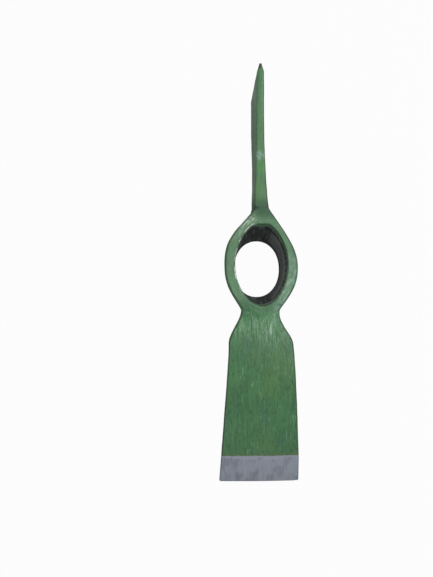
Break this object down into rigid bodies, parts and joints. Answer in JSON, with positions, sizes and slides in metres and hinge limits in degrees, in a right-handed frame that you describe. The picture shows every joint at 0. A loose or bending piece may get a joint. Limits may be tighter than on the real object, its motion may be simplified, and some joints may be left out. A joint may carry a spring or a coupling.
{
  "type": "cutter mattock head",
  "caption": "Forged cutter mattock head with an oval handle eye, a tapered collar, a vertical axe blade and a curved adze blade, for digging and chopping roots.",
  "frame": {"origin": "on the handle's axis, in the middle of the eye, in the plane of the collar's foot, where the head stands", "axes": "+Z along the handle's axis from the collar's foot to the mouth of the eye, +X along the head towards the axe edge, +Y across the head"},
  "size_m": [0.378, 0.076, 0.0575],
  "materials": {
    "green_paint": "glossy enamel over forged steel",
    "ground_steel": "ground"
  },
  "bodies": {
    "root": {"eye_band": "green_paint", "handle_collar": "green_paint", "axe_blade": "green_paint", "axe_bit": "green_paint", "adze_blade": "green_paint", "adze_bit": "ground_steel"}
  },
  "joints": []
}
